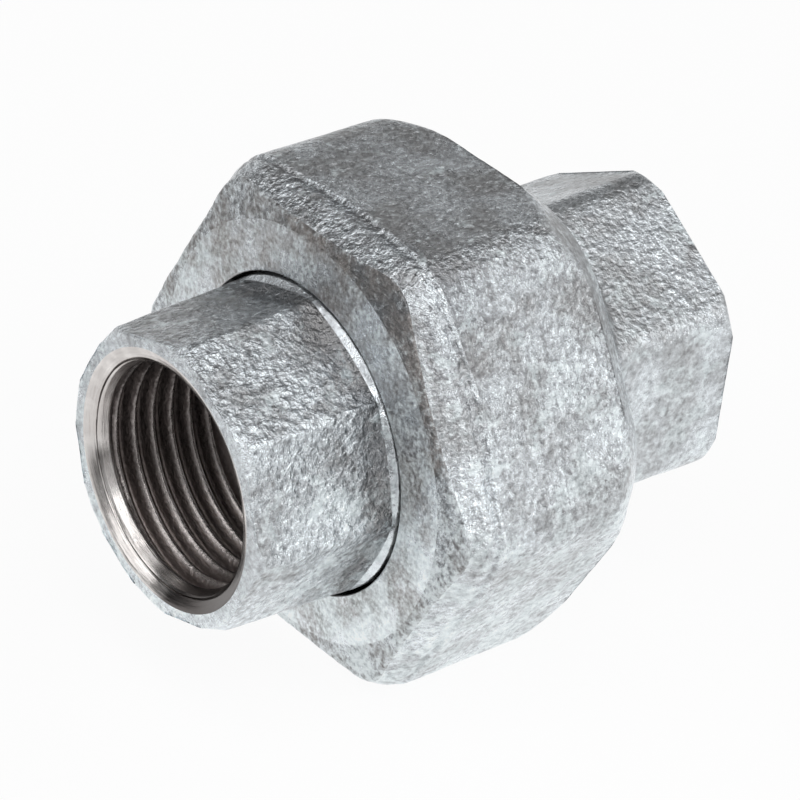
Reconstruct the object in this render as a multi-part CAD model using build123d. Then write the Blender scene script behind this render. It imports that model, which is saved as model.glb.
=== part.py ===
"""A malleable iron pipe union for half-inch pipe, female thread at both ends.

A union nut hooks behind the collar of an octagon tailpiece and screws on to the
threaded end, which squeezes a flat gasket between the two seal faces.
Millimetres. The pipe axis is X, with the tailpiece's mouth at -X and the threaded
end's mouth at +X. The origin is on the axis, midway between the two mouths, and
the nut lies on a flat, so +Z is square to one of its flats.
"""
from build123d import *
from math import atan, cos, degrees, radians, tan
import os

os.makedirs("parts", exist_ok=True)

# The whole union, with the nut drawn up
LENGTH = 48.0                # from mouth to mouth
NUT_SETBACK = 12.9           # from the tailpiece's mouth to the nut's front

# Female pipe thread, the same in both ends: a bore at the thread's crests
PIPE_CREST_R = 9.32
PIPE_THREAD_LENGTH = 12.0    # of the wall at the crest radius
MOUTH_WIDENING = 1.59        # the machined countersink beyond the crests, at the end face
BEVEL_DEPTH = 0.57           # the wide bevel at the very mouth
BEVEL_NARROWING = 1.15       # how much radius the wide bevel takes off
LEAD_DEPTH = 1.1             # the narrow lead from the bevel to the first crest
WATERWAY_STEP = 0.72         # the cast waterway between the threads is this much narrower
STOP_ANGLE = 45.0            # of the cone from the thread to the waterway

# Tailpiece, outward from the pipe thread
TAIL_SIDES = 8
TAIL_RIM = 0.97              # end face left beyond the countersink, at the flats
TAIL_FLARE = 0.72            # how much wider across the flats it is at the nut
TAIL_CORNER_R = 1.23
TAIL_TURN = 5.7              # first corner, in degrees from +Y toward +Z
TAIL_FACE_MARGIN = 0.27      # the end face is turned to this much beyond the flats
NECK_RISE = 0.96             # the round neck in the nut's bore, beyond the flats
NECK_RUNOUT = 1.1            # length over which the flats rise to the neck
NECK_SHOW = 0.5              # round neck left in front of the nut
COLLAR_LIP = 1.6             # how far the collar stands out of the neck
COLLAR_THICK = 3.4

# Union nut
NUT_SIDES = 6
NUT_LENGTH = 20.0
NUT_WALL = 3.2               # from the collar's chamber to the flats
NUT_CORNER_R = 4.95
NECK_CLEAR = 0.3             # round the neck
LIP_THICK = 3.2
BORE_ROUND = 0.5             # broken edge of the nut's bore
RING_WIDTH = 4.1             # the smooth ring round the bore
RING_SLOPE = 4.0             # degrees from square to the axis
CROWN_SLOPE = 9.0            # outside the ring, toward the corners
BAND_LENGTH = 4.0            # the cast shoulder band, from the nut's front to the flats
BAND_STEP = 0.15             # each flat stands this much above the band
FRONT_BEVEL = 1.3            # the band's front edge, broken along every side
FRONT_BEVEL_LENGTH = 2.5
REAR_BEVEL = 2.2             # the rear edge, broken along every side
REAR_BEVEL_LENGTH = 2.5
REAR_CORNER_R = 13.0         # the rear end is much rounder at its corners
CORNER_CUT_ANGLE = 34.0      # the turned cut across the corners before the rear bevel
CORNER_CUT_MARGIN = 0.06     # left by that cut outside the rear bevel's corners

# Union thread between nut and threaded end: plain faces at half the thread's height
COLLAR_PASS = 0.9            # from the collar to the face of the male thread
UNION_THREAD_CLEAR = 0.3
CHAMBER_DEPTH = 0.7          # the collar's chamber, wider than the nut's thread
NUT_LEAD = 0.9               # chamfer at the nut's open end
MALE_LEAD = 1.2              # chamfer at the male thread's front
MALE_SETBACK = 1.2           # the male thread ends this far inside the nut
RELIEF_DEPTH = 0.8           # groove behind the male thread
RELIEF_WIDTH = 1.4
SHOULDER_DROP = 0.1          # the round shoulder is this much lower than the thread
SHOULDER_SHOW = 1.0          # how far it comes out of the nut

# Gasket
GASKET_THICK = 2.0
GASKET_INNER_CLEAR = 1.0     # its hole beyond the waterway
GASKET_OUTER_CLEAR = 0.3     # its rim inside the collar's

# Threaded end
BODY_SIDES = 6
BODY_RIM = 1.59              # end face left beyond the countersink, at the flats
BODY_DRAFT = 0.5             # how much narrower it is across the flats at the shoulder
BODY_CORNER_R = 2.84
BODY_TURN = -26.7
BODY_FACE_MARGIN = 1.0

# Radii, each built on the one inside it
MOUTH_R = PIPE_CREST_R + MOUTH_WIDENING
WATERWAY_R = PIPE_CREST_R - WATERWAY_STEP
TAIL_FLAT_R = MOUTH_R + TAIL_RIM
TAIL_ROOT_FLAT_R = TAIL_FLAT_R + TAIL_FLARE / 2
NECK_R = TAIL_ROOT_FLAT_R + NECK_RISE
COLLAR_R = NECK_R + COLLAR_LIP
NUT_BORE_R = NECK_R + NECK_CLEAR
UNION_THREAD_R = COLLAR_R + COLLAR_PASS
NUT_THREAD_R = UNION_THREAD_R + UNION_THREAD_CLEAR
CHAMBER_R = NUT_THREAD_R + CHAMBER_DEPTH
NUT_FLAT_R = CHAMBER_R + NUT_WALL
BODY_FLAT_R = MOUTH_R + BODY_RIM
BODY_ROOT_FLAT_R = BODY_FLAT_R - BODY_DRAFT / 2

# Stations along the pipe axis
TAIL_MOUTH = -LENGTH / 2
BODY_MOUTH = LENGTH / 2
NUT_FRONT = TAIL_MOUTH + NUT_SETBACK
NUT_REAR = NUT_FRONT + NUT_LENGTH
NECK_FRONT = NUT_FRONT - NECK_SHOW
LIP_BACK = NUT_FRONT + LIP_THICK
TAIL_SEAL = LIP_BACK + COLLAR_THICK
BODY_SEAL = TAIL_SEAL + GASKET_THICK
MALE_END = NUT_REAR - MALE_SETBACK
SHOULDER_END = NUT_REAR + SHOULDER_SHOW

CUT = 1.0                    # how far a cutting solid stands past a face


def lathe(*outline):
    """Turn a closed outline of (x, radius) points round the pipe axis."""
    return revolve(make_face(Polyline(*outline, close=True)), Axis.X)


def wrench_bar(x, length, sides, flat_r, corner_r, turn=0.0, narrowing=0.0):
    """A polygon bar along X from x, drafted by the narrowing, its long edges rounded."""
    outline = RegularPolygon(flat_r, sides, major_radius=False, rotation=turn)
    root = Plane(origin=(x, 0, 0), x_dir=(0, 1, 0), z_dir=(1, 0, 0))
    bar = extrude(root * outline, length)
    if narrowing:
        flats = bar.faces().filter_by(lambda face: abs(face.normal_at().X) < 0.5)
        bar = draft(flats, root, degrees(atan(narrowing / length)))
    long_edges = bar.edges().filter_by(lambda edge: abs((edge @ 1 - edge @ 0).X) > abs(length) / 2)
    return fillet(long_edges, corner_r)


def broken_end(bar, end, inset, length):
    """Bevel a bar's whole end face: inset on every side, over the length along X."""
    return chamfer(end.edges(), inset, length, reference=end)


def corner_reach(flat_r, sides, corner_r=0.0):
    """Radius at a polygon's corners, sharp or rounded."""
    sharp = 1 / cos(radians(180 / sides))
    return flat_r * sharp - corner_r * (sharp - 1)


def turned_face(mouth, inward, face_r, reach):
    """What a lathe leaves at a mouth: face_r at the end face, widening at 45 degrees."""
    widened = mouth + inward * (reach + CUT - face_r)
    far = mouth + inward * LENGTH
    return lathe((mouth, 0), (mouth, face_r), (widened, reach + CUT), (far, reach + CUT), (far, 0))


def waterway(mouth, inward, seal):
    """The socket's bevel, lead, thread bore and stop cone, and the waterway to the seal."""
    crest = BEVEL_DEPTH + LEAD_DEPTH
    stop = crest + PIPE_THREAD_LENGTH
    cone = WATERWAY_STEP / tan(radians(STOP_ANGLE))
    return lathe(
        (mouth - inward * CUT, 0),
        (mouth - inward * CUT, MOUTH_R),
        (mouth, MOUTH_R),
        (mouth + inward * BEVEL_DEPTH, MOUTH_R - BEVEL_NARROWING),
        (mouth + inward * crest, PIPE_CREST_R),
        (mouth + inward * stop, PIPE_CREST_R),
        (mouth + inward * (stop + cone), WATERWAY_R),
        (seal + inward * CUT, WATERWAY_R),
        (seal + inward * CUT, 0),
    )


def neck():
    """Round neck through the nut's lip, with the cone that rises to it out of the flats."""
    return lathe(
        (NECK_FRONT - NECK_RUNOUT, 0),
        (NECK_FRONT - NECK_RUNOUT, TAIL_ROOT_FLAT_R),
        (NECK_FRONT, NECK_R),
        (LIP_BACK, NECK_R),
        (LIP_BACK, 0),
    )


def tailpiece():
    """Octagon, round neck and collar in one casting, bored and threaded from its mouth."""
    octagon = wrench_bar(
        NECK_FRONT,
        TAIL_MOUTH - NECK_FRONT,
        TAIL_SIDES,
        TAIL_ROOT_FLAT_R,
        TAIL_CORNER_R,
        TAIL_TURN,
        narrowing=TAIL_FLARE / 2,
    )
    reach = corner_reach(TAIL_ROOT_FLAT_R, TAIL_SIDES)
    octagon &= turned_face(TAIL_MOUTH, 1, TAIL_FLAT_R + TAIL_FACE_MARGIN, reach)
    collar = lathe((LIP_BACK, 0), (LIP_BACK, COLLAR_R), (TAIL_SEAL, COLLAR_R), (TAIL_SEAL, 0))
    return octagon + neck() + collar - waterway(TAIL_MOUTH, 1, TAIL_SEAL)


def nut_turned(bevel_start):
    """What a lathe leaves of the nut: sloping ring, crown, and corners cut at the rear."""
    ring_start_r = NUT_BORE_R + BORE_ROUND
    ring_r = NUT_BORE_R + RING_WIDTH
    reach = corner_reach(NUT_FLAT_R, NUT_SIDES)
    rear_reach = corner_reach(NUT_FLAT_R, NUT_SIDES, REAR_CORNER_R) + CORNER_CUT_MARGIN
    ring_x = NUT_FRONT + (ring_r - ring_start_r) * tan(radians(RING_SLOPE))
    crown_x = ring_x + (reach - ring_r) * tan(radians(CROWN_SLOPE))
    cut_x = bevel_start - (reach - rear_reach) / tan(radians(CORNER_CUT_ANGLE))
    return lathe(
        (NUT_FRONT, 0),
        (NUT_FRONT, ring_start_r),
        (ring_x, ring_r),
        (crown_x, reach),
        (cut_x, reach),
        (bevel_start, rear_reach),
        (NUT_REAR, rear_reach),
        (NUT_REAR, 0),
    )


def nut_blank():
    """The nut as cast: bevelled shoulder band, step, flats and the rounder rear bevel."""
    flats_x = NUT_FRONT + BAND_LENGTH
    rear_x = NUT_REAR - REAR_BEVEL_LENGTH
    band = wrench_bar(NUT_FRONT, BAND_LENGTH, NUT_SIDES, NUT_FLAT_R - BAND_STEP, NUT_CORNER_R)
    band = broken_end(band, band.faces().sort_by(Axis.X)[0], FRONT_BEVEL, FRONT_BEVEL_LENGTH)
    flats = wrench_bar(flats_x, rear_x - flats_x, NUT_SIDES, NUT_FLAT_R, NUT_CORNER_R)
    rear = wrench_bar(flats_x, NUT_REAR - flats_x, NUT_SIDES, NUT_FLAT_R, REAR_CORNER_R)
    rear = broken_end(rear, rear.faces().sort_by(Axis.X)[-1], REAR_BEVEL, REAR_BEVEL_LENGTH)
    return (band + flats + rear) & nut_turned(rear_x)


def nut_bore():
    """The neck's bore through the lip, the collar's chamber and the union thread."""
    mouth_r = NUT_BORE_R + BORE_ROUND
    return lathe(
        (NUT_FRONT - CUT, 0),
        (NUT_FRONT - CUT, mouth_r + CUT),
        (NUT_FRONT + BORE_ROUND, NUT_BORE_R),
        (LIP_BACK, NUT_BORE_R),
        (LIP_BACK, CHAMBER_R),
        (TAIL_SEAL, CHAMBER_R),
        (TAIL_SEAL + CHAMBER_DEPTH, NUT_THREAD_R),
        (NUT_REAR - NUT_LEAD, NUT_THREAD_R),
        (NUT_REAR + CUT, NUT_THREAD_R + NUT_LEAD + CUT),
        (NUT_REAR + CUT, 0),
    )


def union_nut():
    """The cast hexagon nut, with its turned ends and its bore."""
    return nut_blank() - nut_bore()


def gasket():
    """Flat ring squeezed between the two seal faces."""
    inner = WATERWAY_R + GASKET_INNER_CLEAR
    outer = COLLAR_R - GASKET_OUTER_CLEAR
    return lathe((TAIL_SEAL, inner), (TAIL_SEAL, outer), (BODY_SEAL, outer), (BODY_SEAL, inner))


def male_thread():
    """The spigot in the nut: lead, thread face, relief groove, round shoulder and cone."""
    relief_r = UNION_THREAD_R - RELIEF_DEPTH
    shoulder_r = UNION_THREAD_R - SHOULDER_DROP
    cone_end = SHOULDER_END + shoulder_r - BODY_ROOT_FLAT_R
    return lathe(
        (BODY_SEAL, 0),
        (BODY_SEAL, UNION_THREAD_R - MALE_LEAD),
        (BODY_SEAL + MALE_LEAD, UNION_THREAD_R),
        (MALE_END - RELIEF_WIDTH, UNION_THREAD_R),
        (MALE_END - RELIEF_WIDTH, relief_r),
        (MALE_END, relief_r),
        (MALE_END, shoulder_r),
        (SHOULDER_END, shoulder_r),
        (cone_end, BODY_ROOT_FLAT_R),
        (cone_end, 0),
    )


def threaded_end():
    """Hexagon, round shoulder and male union thread in one casting, bored from its mouth."""
    hexagon = wrench_bar(
        BODY_MOUTH,
        NUT_REAR - BODY_MOUTH,
        BODY_SIDES,
        BODY_FLAT_R,
        BODY_CORNER_R,
        BODY_TURN,
        narrowing=BODY_DRAFT / 2,
    )
    reach = corner_reach(BODY_FLAT_R, BODY_SIDES)
    hexagon &= turned_face(BODY_MOUTH, -1, BODY_FLAT_R + BODY_FACE_MARGIN, reach)
    return hexagon + male_thread() - waterway(BODY_MOUTH, -1, BODY_SEAL)


pieces = {
    "tailpiece": tailpiece(),
    "union_nut": union_nut(),
    "gasket": gasket(),
    "threaded_end": threaded_end(),
}
for name, solid in pieces.items():
    export_step(solid, f"parts/{name}.step")
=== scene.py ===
"""Looks of a galvanised pipe union: an octagon tailpiece, a union nut and a threaded end.

Every piece is one closed surface. Its outline, in the half plane through the pipe
axis, is worked out for every angle round that axis, so a piece is a grid of two
parameters: the step along the outline and the angle. Sizes are in millimetres.
The pipe axis is X, and the angle is counted from +Y toward +Z.
"""

from math import cos, radians, sin, tan

import bpy
import numpy as np
from mathutils import Matrix, Vector


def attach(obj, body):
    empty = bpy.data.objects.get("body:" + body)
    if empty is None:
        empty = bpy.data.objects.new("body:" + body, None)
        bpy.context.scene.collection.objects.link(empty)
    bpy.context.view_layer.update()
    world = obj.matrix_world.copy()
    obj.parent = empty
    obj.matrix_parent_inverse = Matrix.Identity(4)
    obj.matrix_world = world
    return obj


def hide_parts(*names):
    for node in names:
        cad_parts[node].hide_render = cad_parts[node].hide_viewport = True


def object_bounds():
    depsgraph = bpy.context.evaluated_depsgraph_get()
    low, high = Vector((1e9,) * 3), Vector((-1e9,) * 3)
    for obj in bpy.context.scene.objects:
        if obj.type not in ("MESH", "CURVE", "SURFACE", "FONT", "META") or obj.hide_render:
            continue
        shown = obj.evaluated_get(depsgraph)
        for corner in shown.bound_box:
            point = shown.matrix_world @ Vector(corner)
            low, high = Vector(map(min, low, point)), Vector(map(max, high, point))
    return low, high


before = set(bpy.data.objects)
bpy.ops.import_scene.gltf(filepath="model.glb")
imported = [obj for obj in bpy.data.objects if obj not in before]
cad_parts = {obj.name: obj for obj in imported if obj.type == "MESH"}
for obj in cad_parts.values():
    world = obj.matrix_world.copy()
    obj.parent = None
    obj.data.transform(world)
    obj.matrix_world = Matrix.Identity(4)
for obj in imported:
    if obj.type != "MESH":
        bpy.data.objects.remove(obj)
cad_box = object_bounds()

MM = 0.001

# Stations along the pipe axis
TAIL_MOUTH = -24.0
BODY_MOUTH = 24.0
NUT_FRONT = -11.1
NUT_REAR = 8.9
LIP_BACK = -7.9
TAIL_SEAL = -4.5
BODY_SEAL = -2.5

# Pipe thread in both mouths, and the machined way in to it
PIPE_PITCH = 1.814
PIPE_CREST_R = 9.32
PIPE_ROOT_R = 10.48
PIPE_THREAD_LENGTH = 12.0
MOUTH_R = 10.91
BEVEL_R = 9.76
BEVEL_DEPTH = 0.57
LEAD_DEPTH = 1.1
SCORE = 0.07  # the turning tool's line at the bevel's foot
WATERWAY_R = 8.6

# Tailpiece
TAIL_FLAT_R = 11.88
TAIL_ROOT_FLAT_R = 12.24
TAIL_CORNER_R = 1.23
TAIL_TURN = 5.7
TAIL_FACE_R = 12.15
NECK_R = 13.2
NECK_FRONT = -11.6
COLLAR_R = 14.8

# Union nut
NUT_FLAT_R = 19.9
NUT_CORNER_R = 4.95
NUT_BORE_R = 13.5
RING_R = 17.6
RING_SLOPE = 4.0
CROWN_SLOPE = 9.0
FRONT_BEVEL = 1.3
FRONT_BEVEL_LENGTH = 2.5
BAND_STEP = 0.15
BAND_LENGTH = 4.05  # from the front to the step, longer on the flats than at the corners
BAND_WAVE = 0.42
REAR_BEVEL = 2.2
REAR_BEVEL_LENGTH = 2.5
REAR_CORNER_R = 13.0
CORNER_CUT_ANGLE = 34.0
CHAMBER_R = 16.7

# Union thread between nut and threaded end
UNION_PITCH = 2.309
UNION_THREAD_HEIGHT = 1.3
UNION_THREAD_R = 15.7
NUT_THREAD_R = 16.0
NUT_LEAD = 0.9
MALE_LEAD = 1.2
MALE_END = 7.7
RELIEF_R = 14.9
RELIEF_WIDTH = 1.4
SHOULDER_R = 15.6
SHOULDER_END = 9.9

# Threaded end
BODY_FLAT_R = 12.5
BODY_ROOT_FLAT_R = 12.25
BODY_CORNER_R = 2.84
BODY_TURN = -26.7
BODY_FACE_R = 13.5

# Numbers of the materials on a piece: OTHER, BAND and CROWN differ from piece to piece
ZINC, TURNED, PIPE_THREAD, OTHER, BAND, CROWN = range(6)

# Steps round each piece, and rows along each thread
TAILPIECE_STEPS = 480
NUT_STEPS = 540
THREADED_END_STEPS = 432
GASKET_STEPS = 192
PIPE_THREAD_ROWS = 76
NUT_THREAD_ROWS = 56
MALE_THREAD_ROWS = 44

# Unevenness of a casting: size of the lumps in mm, share of the height, shift and seed
LUMPS = ((2.6, 0.25, 0, 3), (1.1, 0.15, 31, 5), (0.6, 0.10, 57, 7))
LATTICE = 64

# Ridge where the two halves of a mould met: its width, height and wandering in mm,
# and the beads along it
SEAM_WIDTH = 0.17
SEAM_HEIGHT = 0.26
SEAM_WANDER = 0.35
SEAM_WANDER_SIZE = 1.9
BEAD_SIZE = 1.3
BEAD_LEVEL = 0.55
BEAD_CONTRAST = 0.9

# Hollowness of a flat place, and what it gains with each 1/mm of curvature
FLAT_HOLLOW = 0.5
CURVED_HOLLOW = 0.3


def rounded_polygon(angle, sides, flat_r, corner_r, turn=0.0):
    """Radius of a polygon with rounded corners, at each angle.

    With f the angle from the nearest corner, a flat is flat_r / cos(half - f), and a
    corner is the far crossing of the ray with the circle of corner_r whose centre is
    (flat_r - corner_r) / cos(half) out.
    """
    half = np.pi / sides
    off = np.abs((angle - np.radians(turn) + half) % (2 * half) - half)
    centre = (flat_r - corner_r) / np.cos(half)
    touch = half - np.arctan2((flat_r - corner_r) * np.tan(half), flat_r)
    flat = flat_r / np.cos(half - off)
    arc = centre * np.cos(off) + np.sqrt(np.maximum(corner_r**2 - (centre * np.sin(off)) ** 2, 0))
    return np.where(off < touch, arc, flat)


def round_steps(count):
    """Even angles round the axis. The last one joins the first again."""
    return np.linspace(0, 2 * np.pi, count, endpoint=False)


def outline(angle, *knots, curve=5):
    """Rows of points from the first knot to the last, one outline for every angle.

    A knot is (x, radius, cut, rows, finish, lump), and x and radius may change with the
    angle. The corner there becomes the parabola from cut before it to cut after it,
    which meets both straight lines, and rows even steps lead on to the next one. The
    finish is the number of the run's material, and lump the height of its unevenness.
    """
    place = np.stack([np.stack(np.broadcast_arrays(x, r, angle)[:2]) for x, r, *_ in knots])
    run = np.diff(place, axis=0)
    length = np.maximum(np.linalg.norm(run, axis=1, keepdims=True), 1e-6)
    way = run / length
    rows, kinds = [place[:1]], [knots[0][4:]]
    leave = place[0]
    for k in range(1, len(knots)):
        steps, kind, cut = knots[k - 1][3], knots[k - 1][4:], knots[k][2]
        last = k == len(knots) - 1
        start = place[k] - (0 if last else np.minimum(cut, 0.45 * length[k - 1]) * way[k - 1])
        t = np.linspace(0, 1, steps + 1)[1:, None, None]
        rows.append(leave + t * (start - leave))
        kinds += [kind] * steps
        leave = start if last or not cut else place[k] + np.minimum(cut, 0.45 * length[k]) * way[k]
        if cut and not last:
            t = np.linspace(0, 1, curve + 1)[1:, None, None]
            rows.append((1 - t) ** 2 * start + 2 * t * (1 - t) * place[k] + t**2 * leave)
            kinds += [kind] * (curve // 2) + [knots[k][4:]] * (curve - curve // 2)
    rows = np.concatenate(rows)
    finish, lump = np.array(kinds, dtype=float).T
    return rows, finish, lump, np.zeros_like(rows[:, 0])


def thread(angle, start, end, rows, crest_r, root_r, pitch, cones, finish):
    """Rows of a right-hand screw thread from x = start to x = end.

    The radius goes from crest_r to root_r by a wave of x / pitch - angle / one turn,
    about half a cosine and half a straight-sided tooth. Each end has a cone, (radius,
    slope), which starts at that end: the thread stays under one that widens, and over
    one that narrows.
    """
    x = np.linspace(start, end, rows)[:, None] + 0 * angle
    phase = (x / pitch - angle / (2 * np.pi)) % 1
    tooth = np.clip(1.25 * (1 - np.abs(4 * phase - 2)), -1, 1)
    depth = 0.5 + 0.275 * tooth - 0.225 * np.cos(2 * np.pi * phase)
    radius = crest_r + (root_r - crest_r) * depth
    for edge, (cone_r, slope) in zip((start, end), cones):
        limit = np.minimum if slope > 0 else np.maximum
        radius = limit(radius, cone_r + slope * np.abs(x - edge))
    crest = np.clip((radius - root_r) / (crest_r - root_r), 0, 1)
    return np.stack([x, radius], axis=1), np.full(rows, float(finish)), np.zeros(rows), crest


def lumps(points, size, seed):
    """Smooth random heights from -1 to 1, from a lattice of random numbers size apart.

    Each height is the lattice's eight nearest numbers blended by the smoothstep of
    the point's place between them.
    """
    table = np.random.default_rng(seed).uniform(-1, 1, (LATTICE, LATTICE, LATTICE))
    cell = np.floor(points / size).astype(int)
    t = points / size - cell
    t = t * t * (3 - 2 * t)
    total = 0
    for corner in np.ndindex(2, 2, 2):
        weight = np.prod(np.where(corner, t, 1 - t), axis=-1)
        total = total + weight * table[tuple(((cell + corner) % LATTICE).T)].T
    return total


def grid_normals(points):
    """Outward unit normals of a closed grid: the cross product of its two differences."""
    along = np.roll(points, -1, 0) - np.roll(points, 1, 0)
    around = np.roll(points, -1, 1) - np.roll(points, 1, 1)
    normal = np.cross(around, along)
    return normal / np.maximum(np.linalg.norm(normal, axis=-1, keepdims=True), 1e-9)


def hollowness(points, normals):
    """How hollow a closed grid is at each point: 0 on sharp edges, 0.5 on flats, 1 in grooves.

    Along each parameter the middle of two neighbours stands off the point, and that
    height along the normal, over the square of half their distance, is the curvature.
    The two are added, averaged over the neighbours and brought to the range.
    """
    curvature = 0
    for axis, step in ((0, 1), (1, 2)):
        before, after = np.roll(points, step, axis), np.roll(points, -step, axis)
        height = np.sum(((before + after) / 2 - points) * normals, axis=-1)
        curvature = curvature + height / np.maximum(np.sum((after - before) ** 2, axis=-1) / 4, 0.01)
    for axis in (0, 1, 1, 0, 1):
        curvature = (np.roll(curvature, 1, axis) + curvature + np.roll(curvature, -1, axis)) / 3
    return np.clip(FLAT_HOLLOW + CURVED_HOLLOW * curvature, 0, 1)


def closed_piece(name, body, node, angle, sections, materials, seam_turn=0.0, seam_height=0.0):
    """One closed mesh from sections of rows, as outline and thread give them.

    A section ends where the next one starts, so its last row is left out. Each point
    sinks into the piece along its normal, by lump times a smooth random depth. Faces
    join every row to the next, and the last row to the first. Where the mould parted, in
    the plane through the axis at seam_turn, the zinc has a ragged ridge: seam_height
    times a bell curve of the distance from it, times the beads. The seam attribute is
    that bell with its beads. Nothing goes past the two ends of the outline.
    """
    rows, finish, lump, crest = (np.concatenate([p[:-1] for p in part]) for part in zip(*sections))
    x, r = rows[:, 0], rows[:, 1]
    points = np.stack([x, r * np.cos(angle), r * np.sin(angle)], axis=-1)
    lump = np.convolve(np.pad(lump, 2, mode="wrap"), [0.2] * 5, mode="valid") * (lump > 0)
    height = sum(share * lumps(points + shift, size, seed) for size, share, shift, seed in LUMPS) - 0.5
    wander = SEAM_WANDER * lumps(points + 5, SEAM_WANDER_SIZE, 9)
    away = r * ((angle - radians(seam_turn) + np.pi / 2) % np.pi - np.pi / 2) + wander
    beads = np.clip(BEAD_LEVEL + BEAD_CONTRAST * lumps(points + 11, BEAD_SIZE, 13), 0, 1)
    seam = np.exp(-((away / SEAM_WIDTH) ** 2)) * beads * (finish == ZINC)[:, None]
    height = lump[:, None] * height + seam_height * seam
    points = points + grid_normals(points) * height[..., None]
    points[..., 0] = np.clip(points[..., 0], x.min(), x.max())
    n_rows, n_around = x.shape
    i = np.arange(n_rows)[:, None]
    j = np.arange(n_around)[None]
    i2, j2 = (i + 1) % n_rows, (j + 1) % n_around
    corners = [i * n_around + j, i * n_around + j2, i2 * n_around + j2, i2 * n_around + j]
    quads = np.stack([np.broadcast_to(c, (n_rows, n_around)) for c in corners], axis=-1)
    mesh = bpy.data.meshes.new(name)
    mesh.vertices.add(n_rows * n_around)
    mesh.vertices.foreach_set("co", (points * MM).astype(np.float32).ravel())
    mesh.loops.add(quads.size)
    mesh.loops.foreach_set("vertex_index", quads.astype(np.int32).ravel())
    mesh.polygons.add(n_rows * n_around)
    mesh.polygons.foreach_set("loop_start", np.arange(0, quads.size, 4, dtype=np.int32))
    mesh.polygons.foreach_set("material_index", np.repeat(finish, n_around).astype(np.int32))
    mesh.polygons.foreach_set("use_smooth", np.ones(n_rows * n_around, dtype=bool))
    mesh.update(calc_edges=True)
    hollow = hollowness(points, grid_normals(points))
    for title, values in (("thread_crest", crest), ("seam", seam), ("hollow", hollow)):
        attribute = mesh.attributes.new(title, "FLOAT", "POINT")
        attribute.data.foreach_set("value", values.astype(np.float32).ravel())
    for material in materials:
        mesh.materials.append(material)
    piece = bpy.data.objects.new(name, mesh)
    bpy.context.scene.collection.objects.link(piece)
    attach(piece, body)
    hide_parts(node)
    return piece


# Shaders


class Wire:
    """One output socket of a material. Arithmetic on it adds Math nodes."""

    def __init__(self, tree, socket):
        self.tree, self.socket = tree, socket

    @classmethod
    def node(cls, tree, kind, settings=None, inputs=None, output=0):
        """Add a node: its settings, then a number, a colour or a wire on its sockets."""
        made = tree.nodes.new("ShaderNode" + kind)
        for name, value in (settings or {}).items():
            if name == "stops":
                ramp = made.color_ramp
                while len(ramp.elements) < len(value):
                    ramp.elements.new(1.0)
                for stop, (place, shade) in zip(ramp.elements, value):
                    stop.position = place
                    stop.color = (shade, shade, shade, 1)
            else:
                setattr(made, name, value)
        for name, value in (inputs or {}).items():
            if isinstance(value, Wire):
                tree.links.new(value.socket, made.inputs[name])
            else:
                made.inputs[name].default_value = value
        return cls(tree, made.outputs[output]) if made.outputs else None

    def math(self, operation, *others):
        return Wire.node(self.tree, "Math", {"operation": operation}, dict(enumerate((self, *others))))

    def __add__(self, other):
        return self.math("ADD", other)

    def __sub__(self, other):
        return self.math("SUBTRACT", other)

    def __mul__(self, other):
        return self.math("MULTIPLY", other)

    def __rsub__(self, other):
        return Wire.node(self.tree, "Math", {"operation": "SUBTRACT"}, {0: other, 1: self})

    __radd__ = __add__
    __rmul__ = __mul__

    def ramp(self, *stops):
        """A ramp of shades: (place, shade) pairs."""
        return Wire.node(self.tree, "ValToRGB", {"stops": stops}, {"Fac": self})


def mixed(mask, low, high):
    """The colour low where the mask is 0, and high where it is 1."""
    inputs = {0: mask, 6: low, 7: high}
    return Wire.node(mask.tree, "Mix", {"data_type": "RGBA", "clamp_factor": True}, inputs, 2)


def shade(red, green, blue):
    return (red, green, blue, 1.0)


def new_material(name):
    """An empty material with its surface shader and the place on the piece in mm."""
    material = bpy.data.materials.new(name)
    material.use_nodes = True
    tree = material.node_tree
    tree.nodes.clear()
    place = Wire.node(tree, "TexCoord", output="Object")
    place = Wire.node(tree, "VectorMath", {"operation": "SCALE"}, {0: place, "Scale": 1 / MM})
    return material, tree, place


def finish_material(tree, **sockets):
    """Connect the surface shader: a wire or a number on each of its sockets."""
    inputs = {name.replace("_", " "): value for name, value in sockets.items()}
    surface = Wire.node(tree, "BsdfPrincipled", None, inputs)
    Wire.node(tree, "OutputMaterial", None, {"Surface": surface})


def noise(place, scale, detail=3.0, roughness=0.55, stretch=None, seed=0.0, twist=0.0):
    """Noise from 0 to 1. A stretch of (x, y, z) scales the place first, and twist bends it."""
    if stretch or seed:
        moved = {"Vector": place, "Scale": stretch or (1.0, 1.0, 1.0), "Location": (seed, seed, seed)}
        place = Wire.node(place.tree, "Mapping", None, moved)
    inputs = {"Vector": place, "Scale": scale, "Detail": detail, "Roughness": roughness}
    return Wire.node(place.tree, "TexNoise", None, {**inputs, "Distortion": twist})


def cells(place, scale):
    """Rounded cells: 0 at each cell's middle, rising to its edge."""
    inputs = {"Vector": place, "Scale": scale}
    return Wire.node(place.tree, "TexVoronoi", {"feature": "F1"}, inputs, "Distance")


def part_of(vector, axis):
    """One coordinate of a place or a direction."""
    return Wire.node(vector.tree, "SeparateXYZ", None, {0: vector}, axis)


def along(vector, side):
    """How far a place or a direction lies toward the given side."""
    inputs = {0: vector, 1: side}
    return Wire.node(vector.tree, "VectorMath", {"operation": "DOT_PRODUCT"}, inputs, "Value")


def bump(height, depth):
    """Normal of a surface whose heights, from 0 to 1, stand depth mm."""
    inputs = {"Height": height, "Strength": 1.0, "Distance": depth * MM}
    return Wire.node(height.tree, "Bump", None, inputs)


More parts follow.
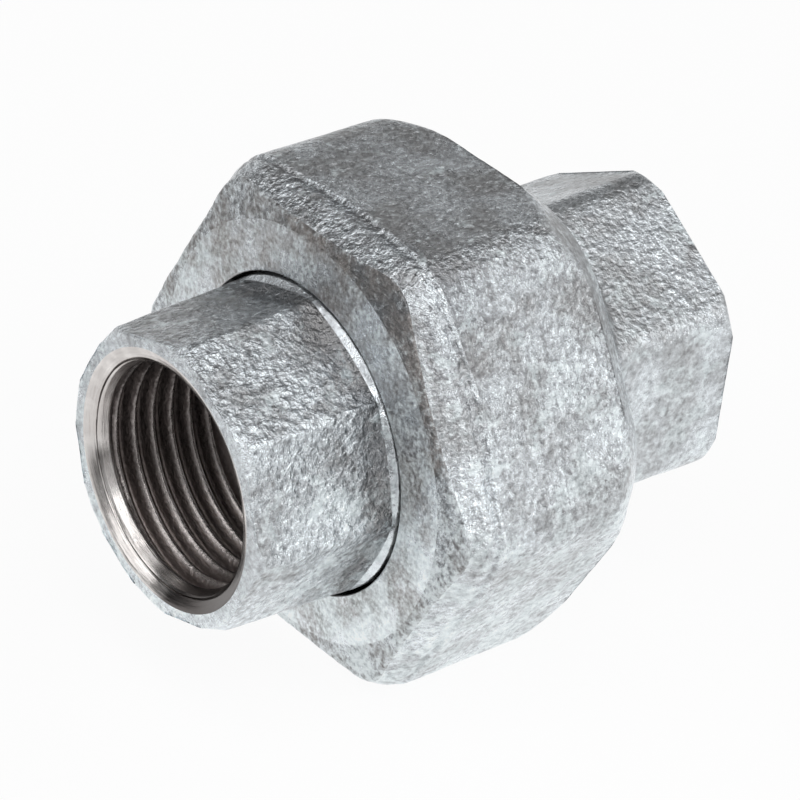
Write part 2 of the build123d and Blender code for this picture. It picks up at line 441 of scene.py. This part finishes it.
# Zinc, whose tone goes from 0, dark, to 1, bright
TONE_LEVEL = 1.0
HOLES_DARKEN = 0.8
HOLLOWS_DARKEN = 0.7
STAINS_DARKEN = 0.25
# Painted highlight along the crest of the seam ridge
SEAM_HIGHLIGHT = 0.3
# Painted shade: the zinc darkens for each mm up, so the upper sides look darker
PAINTED_TOP_SHADE = 0.012  # for each mm up
# Painted shade: how much the metal darkens toward a side
PAINTED_SHADE_DARKENS = 0.65
# Real bloom, and painted light: more pale bloom low down makes the lower faces lighter
BLOOM_AND_LIGHT_SINK = 0.005  # less bloom for each mm up
PITS_SINK = 0.30
# Painted shade as (side, from mm, to mm): the tailpiece darkens toward the nut next to its neck, and the
# nut darkens toward its upper front
TAIL_PAINTED_SHADE = ((1.0, 0.0, 0.0), -14.0, -12.2)
NUT_PAINTED_SHADE = ((-0.75, -0.35, 0.56), 16.0, 23.0)


def galvanised(
    name,
    pale=0.3,
    grain=2.0,
    detail=4.0,
    depth=0.3,
    pits=0.3,
    mottle=3.0,
    light=0.9,
    dark=0.3,
    gloss=0.24,
    warm=0.3,
    painted_shade=None,
):
    """Hot-dipped zinc on a rough casting.

    Soft pale patches of dull bloom lie over grey metal, more of them low down, with
    brownish stains. Both are mottled, and darker in the hollows. The extra bloom low down
    is painted light on the lower faces, and painted shade darkens the upper sides.
    Small round pits come and go. The seam ridge gets a painted highlight. A last argument
    of (side, clean, black) paints shade: the metal darkens toward that side, from clean
    mm out to black mm out.

    pale is the share of bloom, grain and detail the fineness of the bumps and depth
    their height in mm, pits and mottle the strength of each, light and dark the bright
    and the dark metal, gloss the roughness of clean metal, and warm the stains' strength.
    """
    material, tree, place = new_material(name)
    hollow = Wire.node(tree, "Attribute", {"attribute_name": "hollow"}, output="Fac")
    seam = Wire.node(tree, "Attribute", {"attribute_name": "seam"}, output="Fac")
    height = part_of(place, "Z")
    fine = noise(place, grain, detail, 0.60)
    crumple = noise(place, 0.9 * grain, 5.0, 0.70, seed=11.0, twist=0.2)
    # Bloom thins higher up: partly real bloom, partly painted light on the lower faces
    bloom = noise(place, 0.32, 5.0, 0.66, seed=3.0, twist=0.4) - BLOOM_AND_LIGHT_SINK * height
    stain = noise(place, 0.20, 4.0, 0.62, seed=41.0).ramp((0.40, 1.0), (0.60, 0.0))
    patches = (bloom + 0.45 * crumple).ramp((0.76 - 0.10 * pale, 0.0), (0.86 - 0.10 * pale, 1.0))
    gate = noise(place, 0.45, 2.0, 0.5, seed=23.0).ramp((0.46, 0.0), (0.58, 1.0))
    hole = cells(place, 1.25).ramp((0.14, 1.0), (0.28, 0.0)) * gate * pits
    tone = (crumple - 0.5) * mottle + (fine - 0.5) + TONE_LEVEL - HOLES_DARKEN * hole
    # Darker in the hollows and the stains, with a painted highlight on the seam ridge
    tone = tone - HOLLOWS_DARKEN * hollow - STAINS_DARKEN * stain + SEAM_HIGHLIGHT * seam
    # Painted shade: darker higher up
    tone = tone - PAINTED_TOP_SHADE * height
    # Painted shade: darker toward the given side
    if painted_shade:
        side, clean, black = painted_shade
        shaded = (along(place, side) - clean) * (1 / (black - clean))
        tone = tone - shaded.ramp((0.0, 0.0), (1.0, PAINTED_SHADE_DARKENS))
    grey = tone.ramp((0.0, 0.0), (1.0, 1.0))
    metal_low, metal_high = (0.95, 0.99, 1.04), (0.92, 0.98, 1.02)
    dull_low, dull_high = (0.50, 0.56, 0.59), (0.98, 1.05, 1.07)
    metal = mixed(grey, shade(*(dark * c for c in metal_low)), shade(*(light * c for c in metal_high)))
    dull = mixed(grey, shade(*(light * c for c in dull_low)), shade(*(light * c for c in dull_high)))
    clean_zinc = mixed(patches, metal, dull)
    rust = mixed(3.0 * crumple - 1.0, shade(0.17, 0.155, 0.145), shade(0.52, 0.485, 0.465))
    finish_material(
        tree,
        Base_Color=mixed(stain * (1.2 - grey) * warm, clean_zinc, rust),
        Metallic=0.94 - 0.32 * patches,
        Roughness=gloss + 0.14 * patches + 0.10 * stain,
        Normal=bump(fine - PITS_SINK * hole, depth),
    )
    return material


# Painted shade on the turned faces, low at the front: the side it lies toward, and how far out it starts
LOW_SHADE_SIDE = (0.0, -0.70, -0.71)
LOW_SHADE_START = 8.1


def machined(name):
    """Bare iron off the lathe: fine rings round the axis, a warm grey, and painted shade toward the lower
    front.
    """
    material, tree, place = new_material(name)
    rings = noise(place, 1.0, 4.0, 0.65, (9.0, 0.25, 0.25))
    smears = noise(place, 0.22, 3.0, 0.6, seed=17.0).ramp((0.42, 0.0), (0.62, 1.0))
    tone = rings * 0.8 + smears * 0.5 - 0.15
    metal = mixed(tone, shade(0.46, 0.43, 0.415), shade(0.92, 0.89, 0.87))
    # Painted shade toward the lower front
    low_shade = (along(place, LOW_SHADE_SIDE) + rings * 1.6 - LOW_SHADE_START).ramp((0.0, 0.0), (1.0, 0.86))
    finish_material(
        tree,
        Base_Color=mixed(low_shade, metal, shade(0.05, 0.042, 0.04)),
        Metallic=0.97,
        Roughness=0.17 + 0.08 * smears,
        Normal=bump(rings, 0.025),
    )
    return material


def cut_thread(name):
    """Cut thread: bright crests and dark grooves, partly wear and cutting fluid, partly a
    painted highlight on the crests and painted shade in the grooves.

    Painted light makes crests and grooves lighter low down in the bore and darker high up.
    """
    material, tree, place = new_material(name)
    wave = Wire.node(tree, "Attribute", {"attribute_name": "thread_crest"}, output="Fac")
    grit = noise(place, 2.4, 4.0, 0.65)
    # Painted light: lighter toward the bottom of the bore, darker high up
    painted_low_light = 0.5 - 0.05 * part_of(place, "Z")
    # Crests: partly wear, partly a painted highlight; grooves: partly cutting fluid, partly painted shade
    worn_and_highlit = (wave + 0.45 * grit + 0.40 * painted_low_light - 0.55).ramp((0.64, 0.0), (1.0, 1.0))
    groove_with_shade = mixed(0.5 * grit + painted_low_light - 0.45, shade(0.022, 0.017, 0.016), shade(0.34, 0.29, 0.275))
    finish_material(
        tree,
        Base_Color=mixed(worn_and_highlit, groove_with_shade, shade(0.50, 0.465, 0.45)),
        Metallic=0.95,
        Roughness=0.36 - 0.14 * worn_and_highlit,
        Normal=bump(grit, 0.08),
    )
    return material


def rubber(name):
    """Black gasket rubber, slightly dusty."""
    material, tree, place = new_material(name)
    dust = noise(place, 1.5, 4.0, 0.6)
    colour = mixed(dust, shade(0.02, 0.02, 0.02), shade(0.06, 0.06, 0.058))
    finish_material(tree, Base_Color=colour, Roughness=0.55 + 0.2 * dust, Normal=bump(dust, 0.03))
    return material


cast_nut = galvanised(
    "nut_zinc", pale=0.50, grain=2.05, detail=3.4, depth=0.38, mottle=2.2, light=1.0, dark=0.33,
    gloss=0.21, painted_shade=NUT_PAINTED_SHADE,
)
nut_band = galvanised(
    "nut_band_zinc", pale=0.35, grain=1.6, detail=3.5, depth=0.52, mottle=2.4, light=1.0,
    dark=0.40, gloss=0.20, warm=0.3,
)
nut_crown = galvanised(
    "nut_crown_zinc", pale=0.3, grain=2.2, depth=0.42, mottle=3.6, light=0.86, dark=0.18,
    warm=0.7, painted_shade=NUT_PAINTED_SHADE,
)
nut_ring = galvanised(
    "nut_ring_zinc", pale=0.9, grain=2.6, depth=0.12, pits=0.1, mottle=2.4, light=1.0,
    dark=0.46, warm=0.7,
)
cast_tail = galvanised(
    "tailpiece_zinc", pale=0.15, grain=1.75, detail=3.6, depth=0.42, mottle=2.1, light=1.0,
    dark=0.28, gloss=0.20, painted_shade=TAIL_PAINTED_SHADE,
)
tail_rim = galvanised(
    "tailpiece_rim_zinc", pale=0.3, grain=2.0, depth=0.40, pits=0.1, mottle=2.6, light=1.0,
    dark=0.55, gloss=0.2, warm=0.2,
)
# Painted highlight: the neck flare's zinc is paler than the rest of the tailpiece
tail_lip_highlit = galvanised(
    "tailpiece_lip_highlit_zinc", pale=0.2, grain=1.6, depth=0.16, pits=0.0, mottle=2.0, light=1.0,
    dark=0.6, gloss=0.2, warm=0.0,
)
cast_body = galvanised(
    "threaded_end_zinc", pale=0.25, grain=1.9, detail=3.0, depth=0.25, pits=0.1, mottle=1.7,
    light=0.97, dark=0.32, gloss=0.22,
)
turned_iron = machined("turned_iron")
pipe_thread_iron = cut_thread("pipe_thread_iron")
union_thread_iron = cut_thread("union_thread_iron")
gasket_rubber = rubber("gasket_rubber")


# Pieces


def socket_sections(angle, mouth, inward, seal):
    """Sections from a seal face out to its mouth: waterway, stop cone, thread and bevels."""
    crest = BEVEL_DEPTH + LEAD_DEPTH
    stop = crest + PIPE_THREAD_LENGTH
    waterway = outline(
        angle,
        (seal, WATERWAY_R, 0, 4, TURNED, 0),
        (mouth + inward * (stop + PIPE_CREST_R - WATERWAY_R), WATERWAY_R, 0.3, 2, TURNED, 0),
        (mouth + inward * stop, PIPE_CREST_R, 0, 0, TURNED, 0),
    )
    grooves = thread(
        angle,
        mouth + inward * stop,
        mouth + inward * crest,
        PIPE_THREAD_ROWS,
        PIPE_CREST_R,
        PIPE_ROOT_R,
        PIPE_PITCH,
        ((PIPE_CREST_R, 0.5), (PIPE_CREST_R, 2.0)),
        PIPE_THREAD,
    )
    bevels = outline(
        angle,
        (mouth + inward * crest, PIPE_CREST_R, 0, 4, TURNED, 0),
        (mouth + inward * (BEVEL_DEPTH + SCORE), BEVEL_R - SCORE / 2, 0, 1, TURNED, 0),
        (mouth + inward * (BEVEL_DEPTH + SCORE / 2), BEVEL_R + SCORE, 0, 1, TURNED, 0),
        (mouth + inward * BEVEL_DEPTH, BEVEL_R, 0, 4, TURNED, 0),
        (mouth, MOUTH_R, 0, 0, TURNED, 0),
    )
    return [waterway, grooves, bevels]


def make_tailpiece():
    """Octagon with rounded corners, the flare to its neck, and the collar in the nut."""
    angle = round_steps(TAILPIECE_STEPS)
    mouth_flats = rounded_polygon(angle, 8, TAIL_FLAT_R, TAIL_CORNER_R, TAIL_TURN)
    root_flats = rounded_polygon(angle, 8, TAIL_ROOT_FLAT_R, TAIL_CORNER_R, TAIL_TURN)
    corner = np.maximum(mouth_flats - TAIL_FACE_R, 0)
    outside = outline(
        angle,
        (TAIL_MOUTH, MOUTH_R, 0, 5, OTHER, 0.14),
        (TAIL_MOUTH, np.minimum(mouth_flats, TAIL_FACE_R), 0.30, 2, OTHER, 0.30),
        (TAIL_MOUTH + corner + 0.05, mouth_flats, 0.3, 30, ZINC, 0.18),
        (NECK_FRONT - 0.75, root_flats, 0.3, 3, ZINC, 0.06),
        (NECK_FRONT + 0.22, 0.6 * root_flats + 0.4 * NECK_R, 0.10, 4, BAND, 0.08),
        (NUT_FRONT + 0.1, NECK_R, 0.12, 3, BAND, 0.02),
        (NUT_FRONT + 1.0, NECK_R, 0, 3, TURNED, 0),
        (LIP_BACK, NECK_R, 0, 2, TURNED, 0),
        (LIP_BACK, COLLAR_R, 0.2, 4, TURNED, 0),
        (TAIL_SEAL, COLLAR_R, 0.3, 4, TURNED, 0),
        (TAIL_SEAL, WATERWAY_R, 0, 0, TURNED, 0),
    )
    sections = [outside, *socket_sections(angle, TAIL_MOUTH, 1, TAIL_SEAL)]
    finishes = [cast_tail, turned_iron, pipe_thread_iron, tail_rim, tail_lip_highlit]
    seam = (TAIL_TURN + 135, SEAM_HEIGHT)
    return closed_piece("tailpiece_casting", "tailpiece", "tailpiece", angle, sections, finishes, *seam)


def make_nut():
    """Cast hexagon: ring, crown, bevelled band, step, flats, rear bevel and its bore."""
    angle = round_steps(NUT_STEPS)
    band = rounded_polygon(angle, 6, NUT_FLAT_R - BAND_STEP, NUT_CORNER_R)
    front = rounded_polygon(angle, 6, NUT_FLAT_R - BAND_STEP - FRONT_BEVEL, NUT_CORNER_R - FRONT_BEVEL)
    flats = rounded_polygon(angle, 6, NUT_FLAT_R, NUT_CORNER_R)
    rear = rounded_polygon(angle, 6, NUT_FLAT_R, REAR_CORNER_R)
    rear_face = rounded_polygon(angle, 6, NUT_FLAT_R - REAR_BEVEL, REAR_CORNER_R - REAR_BEVEL)
    ring_x = NUT_FRONT + (RING_R - NUT_BORE_R - 0.5) * tan(radians(RING_SLOPE))
    crown_x = ring_x + (front - RING_R) * tan(radians(CROWN_SLOPE))
    crown_r = front + (crown_x - NUT_FRONT) / FRONT_BEVEL_LENGTH * (band - front)
    crown_x = ring_x + (crown_r - RING_R) * tan(radians(CROWN_SLOPE))
    step_x = NUT_FRONT + BAND_LENGTH - BAND_WAVE * np.cos(6 * angle)
    rear_x = NUT_REAR - REAR_BEVEL_LENGTH
    cut_x = rear_x - (flats - rear) / tan(radians(CORNER_CUT_ANGLE))
    lead_r = NUT_THREAD_R + NUT_LEAD
    outside = outline(
        angle,
        (LIP_BACK, NUT_BORE_R, 0, 5, TURNED, 0),
        (NUT_FRONT, NUT_BORE_R, 0.25, 8, OTHER, 0.03),
        (ring_x, RING_R, 0.8, 5, CROWN, 0.12),
        (crown_x, crown_r, 0.35, 4, BAND, 0.42),
        (NUT_FRONT + FRONT_BEVEL_LENGTH, band, 0.5, 4, BAND, 0.34),
        (step_x - 0.35, band, 0.1, 1, BAND, 0.1),
        (step_x, flats, 0.1, 30, ZINC, 0.16),
        (cut_x, flats, 0.9, 1, ZINC, 0.16),
        (rear_x, rear, 0.9, 3, ZINC, 0.14),
        (NUT_REAR, rear_face, 0.45, 2, ZINC, 0.10),
        (NUT_REAR, lead_r, 0, 0, TURNED, 0),
    )
    teeth = thread(
        angle,
        NUT_REAR,
        TAIL_SEAL,
        NUT_THREAD_ROWS,
        NUT_THREAD_R - UNION_THREAD_HEIGHT / 2,
        NUT_THREAD_R + UNION_THREAD_HEIGHT / 2,
        UNION_PITCH,
        ((lead_r, -1.0), (CHAMBER_R, -1.0)),
        PIPE_THREAD,
    )
    chamber = outline(
        angle,
        (TAIL_SEAL, CHAMBER_R, 0, 3, TURNED, 0),
        (LIP_BACK, CHAMBER_R, 0.3, 2, TURNED, 0),
        (LIP_BACK, NUT_BORE_R, 0, 0, TURNED, 0),
    )
    finishes = [cast_nut, turned_iron, union_thread_iron, nut_ring, nut_band, nut_crown]
    return closed_piece("union_nut_casting", "nut", "union_nut", angle, [outside, teeth, chamber], finishes)


def make_threaded_end():
    """Hexagon with its turned face, round shoulder, relief and male union thread."""
    angle = round_steps(THREADED_END_STEPS)
    mouth_flats = rounded_polygon(angle, 6, BODY_FLAT_R, BODY_CORNER_R, BODY_TURN)
    root_flats = rounded_polygon(angle, 6, BODY_ROOT_FLAT_R, BODY_CORNER_R, BODY_TURN)
    corner = np.maximum(mouth_flats - BODY_FACE_R, 0)
    lead_r = UNION_THREAD_R - MALE_LEAD
    seal_face = outline(
        angle,
        (BODY_SEAL, WATERWAY_R, 0, 4, TURNED, 0),
        (BODY_SEAL, lead_r, 0, 0, TURNED, 0),
    )
    teeth = thread(
        angle,
        BODY_SEAL,
        MALE_END - RELIEF_WIDTH,
        MALE_THREAD_ROWS,
        UNION_THREAD_R + UNION_THREAD_HEIGHT / 2,
        UNION_THREAD_R - UNION_THREAD_HEIGHT / 2,
        UNION_PITCH,
        ((lead_r, 1.0), (RELIEF_R, 1.7)),
        OTHER,
    )
    outside = outline(
        angle,
        (MALE_END - RELIEF_WIDTH, RELIEF_R, 0, 2, TURNED, 0),
        (MALE_END, RELIEF_R, 0.1, 1, TURNED, 0),
        (MALE_END, SHOULDER_R, 0.15, 2, TURNED, 0),
        (SHOULDER_END - 0.6, SHOULDER_R, 0, 1, ZINC, 0.03),
        (SHOULDER_END, SHOULDER_R, 0.3, 2, ZINC, 0.06),
        (SHOULDER_END + SHOULDER_R - root_flats, root_flats, 0.5, 28, ZINC, 0.15),
        (BODY_MOUTH - corner - 0.05, mouth_flats, 0.35, 1, ZINC, 0.10),
        (BODY_MOUTH, np.minimum(mouth_flats, BODY_FACE_R), 0.3, 3, ZINC, 0.05),
        (BODY_MOUTH, MOUTH_R, 0, 0, TURNED, 0),
    )
    socket = socket_sections(angle, BODY_MOUTH, -1, BODY_SEAL)
    inward = [[part[::-1] for part in section] for section in socket[::-1]]
    sections = [seal_face, teeth, outside, *inward]
    finishes = [cast_body, turned_iron, pipe_thread_iron, union_thread_iron]
    return closed_piece("threaded_end_casting", "threaded_end", "threaded_end", angle, sections, finishes)


def make_gasket():
    """Flat ring with softly rounded edges."""
    angle = round_steps(GASKET_STEPS)
    inner, outer = WATERWAY_R + 1.0, COLLAR_R - 0.3
    ring = outline(
        angle,
        (BODY_SEAL, inner + 1.0, 0, 1, 0, 0),
        (BODY_SEAL, inner, 0.15, 2, 0, 0),
        (TAIL_SEAL, inner, 0.15, 4, 0, 0),
        (TAIL_SEAL, outer, 0.15, 2, 0, 0),
        (BODY_SEAL, outer, 0.15, 4, 0, 0),
        (BODY_SEAL, inner + 1.0, 0, 0, 0, 0),
    )
    return closed_piece("gasket_ring", "seal", "gasket", angle, [ring], [gasket_rubber])


for make in (make_tailpiece, make_nut, make_threaded_end):
    make()
make_gasket()


# Studio

# Camera: angles in degrees, distance from the origin in metres, lens in mm
CAMERA_AZIMUTH = -40.67
CAMERA_ELEVATION = 31.62
CAMERA_ROLL = 4.55
CAMERA_DISTANCE = 0.35814
CAMERA_LENS = 198.76
CAMERA_SHIFT = (-0.0044, -0.0059)

# Grey room: its light on all sides, and how much brighter it is toward the key side
KEY_SIDE = (0.35, -0.85, 0.40)
ROOM_LEVEL = 0.17
ROOM_SLOPE = 0.52
ROOM_DARKEST = 0.05

# Table: the share of plain white that the camera sees, and where mirrored light sees it
# end on two sides, from and to in metres
TABLE_WHITE = 0.93
NEAR_SIDE = (-0.652, -0.758, 0.0)
NEAR_END = (0.10, 0.16)
LEFT_SIDE = (-1.0, 0.0, 0.0)
LEFT_END = (0.060, 0.078)

SOFTBOX_DISTANCE = 0.9

# Softboxes: the side each stands on, its width and height in metres, and watts
SOFTBOXES = {
    "key_softbox": ((0.45, -0.80, 0.55), 0.34, 0.34, 1.2),
    "top_softbox": ((0.55, -0.36, 0.74), 0.24, 0.24, 0.12),
    "left_softbox": ((-0.89, 0.27, 0.33), 0.60, 0.80, 2.9),
    "overhead_softbox": ((-0.35, 0.15, 0.90), 0.50, 0.50, 0.85),
    "front_softbox": ((-0.18, -0.45, 0.86), 0.42, 0.85, 2.8),
}


def place_camera():
    """Camera looking at the origin from its azimuth and elevation, rolled a little."""
    azimuth, elevation, roll = (radians(a) for a in (CAMERA_AZIMUTH, CAMERA_ELEVATION, CAMERA_ROLL))
    back = Vector((sin(azimuth) * cos(elevation), -cos(azimuth) * cos(elevation), sin(elevation)))
    level = Vector((cos(azimuth), sin(azimuth), 0))
    upright = back.cross(level)
    right = cos(roll) * level + sin(roll) * upright
    up = -sin(roll) * level + cos(roll) * upright
    camera = bpy.data.objects.new("camera", bpy.data.cameras.new("camera"))
    bpy.context.scene.collection.objects.link(camera)
    turn = Matrix((right, up, back)).transposed().to_4x4()
    camera.matrix_world = Matrix.Translation(back * CAMERA_DISTANCE) @ turn
    camera.data.sensor_width = 36.0
    camera.data.lens = CAMERA_LENS
    camera.data.shift_x, camera.data.shift_y = CAMERA_SHIFT
    camera.data.clip_start = 0.01
    bpy.context.scene.camera = camera


def softbox(name, toward, width, height, power):
    """A rectangular area lamp that faces the origin from the given direction."""
    lamp = bpy.data.objects.new(name, bpy.data.lights.new(name, "AREA"))
    bpy.context.scene.collection.objects.link(lamp)
    away = Vector(toward).normalized()
    lamp.location = away * SOFTBOX_DISTANCE
    lamp.rotation_euler = away.to_track_quat("Z", "Y").to_euler()
    lamp.data.shape = "RECTANGLE"
    lamp.data.size = width
    lamp.data.size_y = height
    lamp.data.energy = power


def ray(tree, *kinds):
    """1 for light rays of the named kinds, 0 for the rest."""
    total = 0
    for kind in kinds:
        total = total + Wire.node(tree, "LightPath", output=f"Is {kind} Ray")
    return total.math("MINIMUM", 1.0)


def make_floor():
    """Pale table under the nut's flat, nearly white to the camera, with the shadow.

    Mirrored light sees it end in front of the object and to its left.
    """
    reach, low = 3.0, cad_box[0][2]
    mesh = bpy.data.meshes.new("floor")
    corners = [(-reach, -reach, low), (reach, -reach, low), (reach, reach, low), (-reach, reach, low)]
    mesh.from_pydata(corners, [], [(0, 1, 2, 3)])
    material = bpy.data.materials.new("floor")
    material.use_nodes = True
    tree = material.node_tree
    tree.nodes.clear()
    place = Wire.node(tree, "TexCoord", output="Object")
    near_end, left_end = (
        along(place, side).ramp((starts, 0.0), (ends, 1.0))
        for side, (starts, ends) in ((NEAR_SIDE, NEAR_END), (LEFT_SIDE, LEFT_END))
    )
    ended = near_end.math("MAXIMUM", left_end) * ray(tree, "Glossy")
    colour = mixed(ended, shade(0.85, 0.85, 0.85), shade(0.15, 0.15, 0.15))
    matt = Wire.node(tree, "BsdfDiffuse", None, {"Color": colour})
    white = Wire.node(tree, "Emission", None, {"Color": shade(1, 1, 1), "Strength": 1.0})
    seen = ray(tree, "Camera") * TABLE_WHITE + ray(tree, "Glossy", "Transmission") * (1 - ended)
    surface = Wire.node(tree, "MixShader", None, {0: seen, 1: matt, 2: white})
    Wire.node(tree, "OutputMaterial", None, {"Surface": surface})
    mesh.materials.append(material)
    floor = bpy.data.objects.new("floor", mesh)
    bpy.context.scene.collection.objects.link(floor)


def make_world():
    """White to the camera. For other rays a grey room, lighter toward the key side.

    Mirrored rays also see a white sweep, low down on the far side.
    """
    world = bpy.data.worlds.new("studio")
    bpy.context.scene.world = world
    world.use_nodes = True
    tree = world.node_tree
    tree.nodes.clear()
    toward = Wire.node(tree, "TexCoord", output="Generated")
    height = part_of(toward, "Z")
    key = Vector(KEY_SIDE).normalized()
    room = (ROOM_LEVEL + ROOM_SLOPE * along(toward, key)).math("MAXIMUM", ROOM_DARKEST)
    sweep = (0.5 + 0.5 * along(toward, NEAR_SIDE)).ramp((0.20, 1.0), (0.42, 0.0))
    low = (1.0 - height * 2.5).math("MAXIMUM", 0.0).math("MINIMUM", 1.0)
    camera = ray(tree, "Camera")
    white = (camera + ray(tree, "Glossy", "Transmission") * low * sweep).math("MINIMUM", 1.0)
    strength = white + (1 - white) * room
    backdrop = Wire.node(tree, "Background", None, {"Color": shade(1, 1, 1), "Strength": strength})
    Wire.node(tree, "OutputWorld", None, {"Surface": backdrop})


bpy.context.scene.view_settings.view_transform = "Standard"
place_camera()
make_floor()
make_world()
for name, (toward, width, height, power) in SOFTBOXES.items():
    softbox(name, toward, width, height, power)
